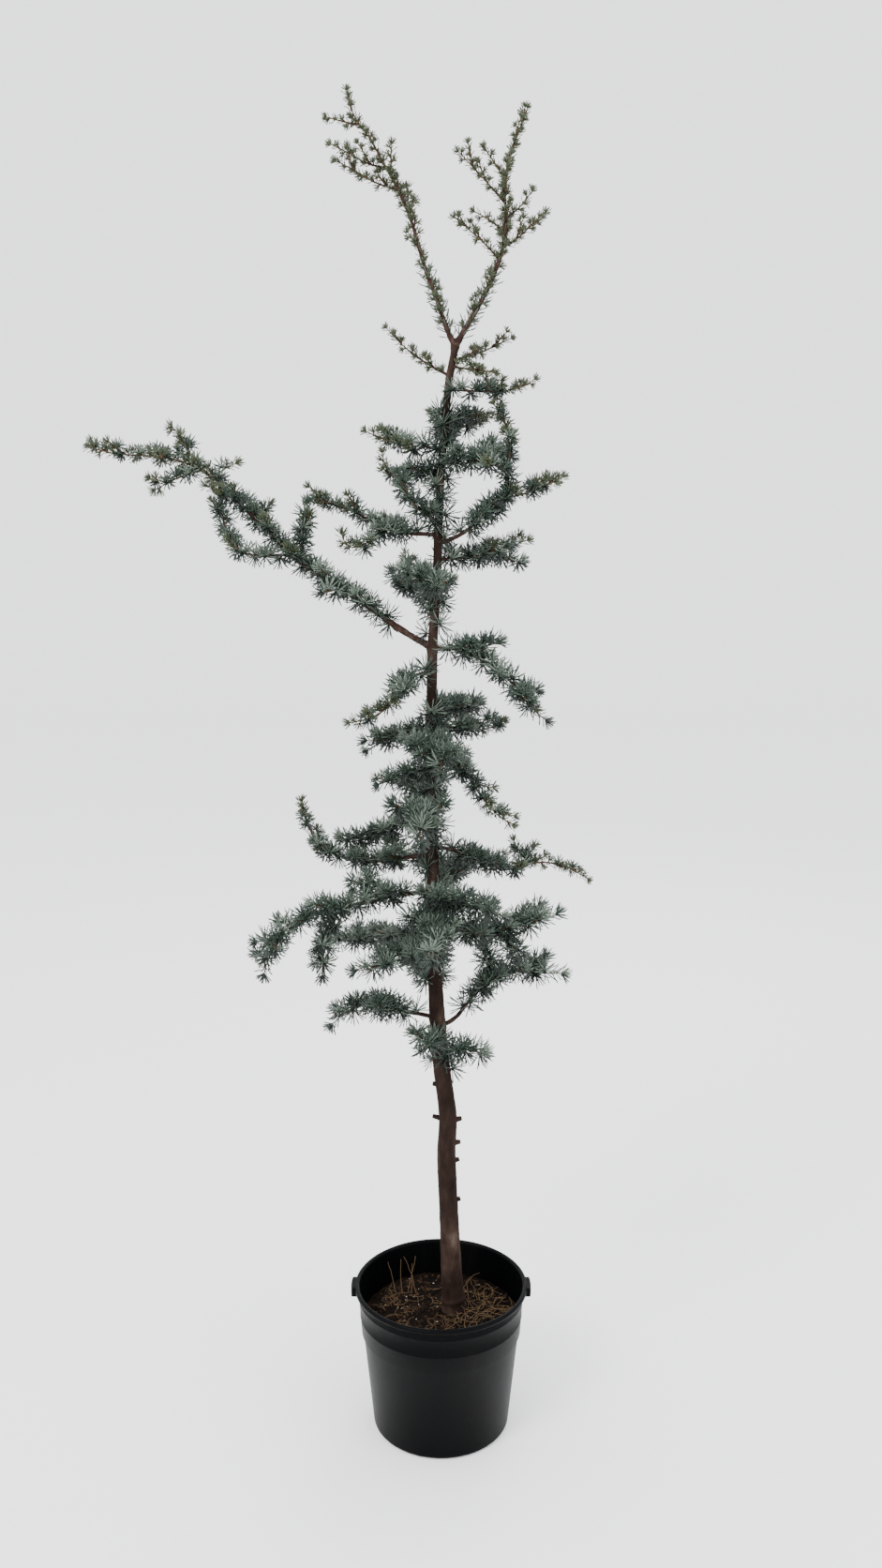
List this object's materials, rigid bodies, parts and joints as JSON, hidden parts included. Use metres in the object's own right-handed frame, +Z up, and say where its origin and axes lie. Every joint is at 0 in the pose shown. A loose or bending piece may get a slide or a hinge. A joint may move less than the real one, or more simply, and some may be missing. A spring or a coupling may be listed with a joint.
{
  "type": "potted blue atlas cedar",
  "caption": "Young blue atlas cedar in a black plastic nursery pot, with a forked trunk, open airy boughs and tufts of blue-green needles.",
  "frame": {"origin": "centre of the pot's flat underside", "axes": "+Z up along the trunk, +X to the viewer's right in the picture, +Y away from the viewer"},
  "size_m": [0.7012, 0.4524, 1.9054],
  "materials": {
    "pot_plastic": "matte",
    "potting_soil": "rough",
    "old_bark": "rough",
    "young_bark": "rough",
    "blue_needles": "matte",
    "young_needles": "matte"
  },
  "bodies": {
    "root": {"bough_leader_left": "young_bark", "bough_leader_right": "young_bark", "bough_left_11": "young_bark", "bough_left_12": "young_bark", "bough_left_15": "young_bark", "bough_left_5": "young_bark", "bough_left_6": "young_bark", "bough_right_11": "young_bark", "bough_right_13": "young_bark", "bough_right_14": "young_bark", "bough_right_6": "young_bark", "bough_right_8": "young_bark", "foliage_back_1": "blue_needles", "foliage_back_2": "blue_needles", "foliage_back_3": "blue_needles", "foliage_back_4": "blue_needles", "foliage_back_5": "blue_needles", "foliage_back_6": "blue_needles", "foliage_front_1": "blue_needles", "foliage_front_2": "blue_needles", "foliage_front_3": "blue_needles", "foliage_front_4": "blue_needles", "foliage_front_5": "blue_needles", "foliage_leader_left": "young_needles", "foliage_leader_right": "young_needles", "foliage_left_1": "blue_needles", "foliage_left_10": "blue_needles", "foliage_left_11": "blue_needles", "foliage_left_12": "blue_needles", "foliage_left_13": "blue_needles", "foliage_left_14": "blue_needles", "foliage_left_15": "blue_needles", "foliage_left_2": "blue_needles", "foliage_left_3": "blue_needles", "foliage_left_4": "blue_needles", "foliage_left_5": "blue_needles", "foliage_left_6": "blue_needles", "foliage_left_7": "blue_needles", "foliage_left_8": "blue_needles", "foliage_left_9": "blue_needles", "foliage_right_1": "blue_needles", "foliage_right_10": "blue_needles", "foliage_right_11": "blue_needles", "foliage_right_12": "blue_needles", "foliage_right_13": "blue_needles", "foliage_right_14": "blue_needles", "foliage_right_15": "blue_needles", "foliage_right_2": "blue_needles", "foliage_right_3": "blue_needles", "foliage_right_4": "blue_needles", "foliage_right_5": "blue_needles", "foliage_right_6": "blue_needles", "foliage_right_7": "blue_needles", "foliage_right_8": "blue_needles", "foliage_right_9": "blue_needles", "pot": "pot_plastic", "soil": "potting_soil", "trunk": "old_bark"}
  },
  "joints": []
}
